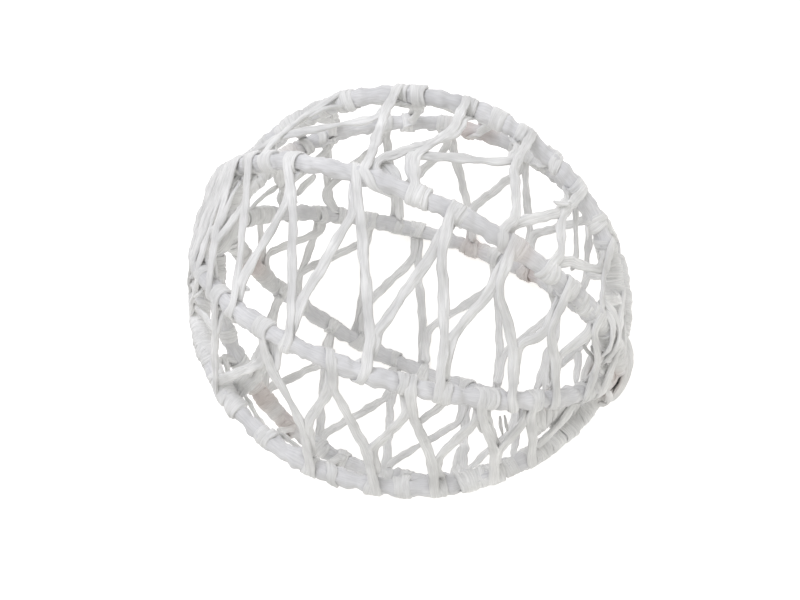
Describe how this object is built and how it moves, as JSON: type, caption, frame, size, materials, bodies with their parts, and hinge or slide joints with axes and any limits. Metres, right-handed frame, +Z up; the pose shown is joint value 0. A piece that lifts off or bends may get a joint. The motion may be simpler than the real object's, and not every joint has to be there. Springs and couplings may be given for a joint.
{
  "type": "decorative ball",
  "caption": "Open decorative ball of white paper-wrapped wire hoops, laced between the ribs with paper cord and bound round both poles.",
  "frame": {"origin": "on the surface the ball lies on, under the middle of its bounding box", "axes": "+X along the line through the two bound poles, +Z up"},
  "size_m": [0.13, 0.114, 0.119],
  "materials": {
    "rib_paper": "white paper tape wound on wire, matt",
    "cord_paper": "white twisted paper cord, matt"
  },
  "bodies": {
    "root": {"rib_1": "rib_paper", "rib_2": "rib_paper", "rib_3": "rib_paper", "rib_4": "rib_paper", "rib_5": "rib_paper", "rib_6": "rib_paper", "rib_7": "rib_paper", "rib_8": "rib_paper", "lacing_1_2": "cord_paper", "lacing_2_3": "cord_paper", "lacing_3_4": "cord_paper", "lacing_4_5": "cord_paper", "lacing_5_6": "cord_paper", "lacing_6_7": "cord_paper", "lacing_7_8": "cord_paper", "lacing_8_1": "cord_paper", "binding_left": "cord_paper", "binding_right": "cord_paper"}
  },
  "joints": []
}
